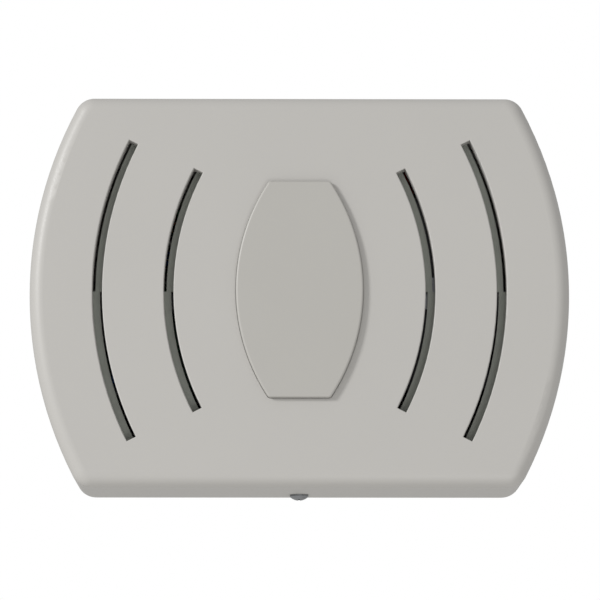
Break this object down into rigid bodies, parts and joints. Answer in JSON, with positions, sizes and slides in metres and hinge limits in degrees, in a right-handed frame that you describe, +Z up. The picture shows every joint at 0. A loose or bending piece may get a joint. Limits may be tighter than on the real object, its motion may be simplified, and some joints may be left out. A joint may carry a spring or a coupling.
{
  "type": "alarm sounder",
  "caption": "Wall-mounted alarm sounder with a bowed moulded cover, curved sound slots and a raised blank badge, hinged at the top over a wall plate with circuit board, battery and loudspeaker.",
  "frame": {"origin": "middle of the wall plate's back face, which lies on the wall", "axes": "+Y into the wall, +Z up, +X to the right of someone facing the unit"},
  "size_m": [0.27, 0.063, 0.1999],
  "materials": {
    "cover_plastic": "fine satin moulded ABS",
    "badge_plastic": "fine satin moulded ABS",
    "base_plastic": "moulded ABS",
    "spring_steel": "bare spring steel",
    "zinc_steel": "bright zinc plated",
    "brass": "machined",
    "black_rubber": "moulded",
    "board_laminate": "green solder mask on glass laminate",
    "terminal_plastic": "moulded nylon",
    "relay_plastic": "moulded",
    "can_aluminium": "drawn and extruded",
    "ferrite": "sintered ferrite",
    "copper_wire": "enamelled copper",
    "black_moulding": "moulded epoxy",
    "tinned_metal": "tinned",
    "fuse_glass": "clear",
    "lamp_resin": "tinted epoxy",
    "switch_plastic": "moulded",
    "white_plastic": "moulded nylon",
    "battery_plastic": "moulded ABS",
    "red_insulation": "PVC",
    "black_insulation": "PVC",
    "pressed_steel": "black lacquer",
    "cone_paper": "pressed paper pulp"
  },
  "bodies": {
    "base": {"base_plate": "base_plastic", "battery_case": "battery_plastic", "battery_lead_black": "black_insulation", "battery_lead_red": "red_insulation", "battery_strap": "zinc_steel", "battery_tabs": "tinned_metal", "board_screws": "zinc_steel", "cable_grommet": "black_rubber", "capacitors": "can_aluminium", "chip_legs": "tinned_metal", "chips": "black_moulding", "circuit_board": "board_laminate", "coil_core": "ferrite", "coil_winding": "copper_wire", "fuse_caps": "tinned_metal", "fuse_clips": "spring_steel", "fuse_link": "fuse_glass", "heat_sink": "can_aluminium", "hinge_pins": "zinc_steel", "lead_headers": "white_plastic", "relay": "relay_plastic", "screw_insert": "brass", "setting_switch": "switch_plastic", "sleeve_black": "black_insulation", "sleeve_red": "red_insulation", "speaker_cap": "cone_paper", "speaker_cone": "cone_paper", "speaker_frame": "pressed_steel", "speaker_leads": "black_insulation", "speaker_magnet": "ferrite", "speaker_posts": "zinc_steel", "speaker_screws": "zinc_steel", "speaker_surround": "black_rubber", "status_led": "lamp_resin", "strap_screws": "zinc_steel", "switch_body": "black_moulding", "switch_tags": "tinned_metal", "terminal_block": "terminal_plastic", "terminal_screws": "zinc_steel", "transistor": "black_moulding", "volume_trimmer": "switch_plastic"},
    "cover": {"front_cover": "cover_plastic", "badge_plate": "badge_plastic", "badge_clips": "spring_steel"},
    "screw": {"cover_screw": "zinc_steel"},
    "washer": {"cover_washer": "zinc_steel"},
    "lever": {"tamper_lever": "spring_steel"},
    "button": {"tamper_button": "white_plastic"},
    "rotor": {"trimmer_rotor": "white_plastic"},
    "slider_1": {"setting_slider_1": "white_plastic"},
    "slider_2": {"setting_slider_2": "white_plastic"},
    "slider_3": {"setting_slider_3": "white_plastic"},
    "slider_4": {"setting_slider_4": "white_plastic"}
  },
  "joints": [
    {"name": "cover_swing", "type": "hinge", "parent": "base", "child": "cover", "pos_m": [0, -0.0075, 0.0935], "axis": [-1, 0, 0], "range_deg": [0, 75]},
    {"name": "washer_drop", "type": "slide", "parent": "base", "child": "washer", "axis": [0, 0, -1], "range_m": [0, 0.0064]},
    {"name": "screw_turn", "type": "hinge", "parent": "washer", "child": "screw", "pos_m": [0, -0.018, -0.0985], "axis": [0, 0, -1], "range_deg": [0, 2880]},
    {"name": "tamper_lever_swing", "type": "hinge", "parent": "base", "child": "lever", "pos_m": [-0.0485, -0.02446, -0.073], "axis": [0, 0, -1], "range_deg": [0, 6]},
    {"name": "tamper_button_travel", "type": "slide", "parent": "base", "child": "button", "axis": [0, -1, 0], "range_m": [0, 0.0006]},
    {"name": "volume_turn", "type": "hinge", "parent": "base", "child": "rotor", "pos_m": [-0.052, -0.015, 0.024], "axis": [0, -1, 0], "range_deg": [0, 270]},
    {"name": "setting_slide_1", "type": "slide", "parent": "base", "child": "slider_1", "axis": [0, 0, 1], "range_m": [0, 0.0014]},
    {"name": "setting_slide_2", "type": "slide", "parent": "base", "child": "slider_2", "axis": [0, 0, 1], "range_m": [0, 0.0014]},
    {"name": "setting_slide_3", "type": "slide", "parent": "base", "child": "slider_3", "axis": [0, 0, 1], "range_m": [0, 0.0014]},
    {"name": "setting_slide_4", "type": "slide", "parent": "base", "child": "slider_4", "axis": [0, 0, 1], "range_m": [0, 0.0014]}
  ],
  "couplings": [
    {"joint": "screw_turn", "follows": "washer_drop", "rad_per_m": 7853.9},
    {"joint": "tamper_lever_swing", "follows": "cover_swing", "ratio": 0.08},
    {"joint": "tamper_button_travel", "follows": "cover_swing", "m_per_rad": 0.000458}
  ]
}
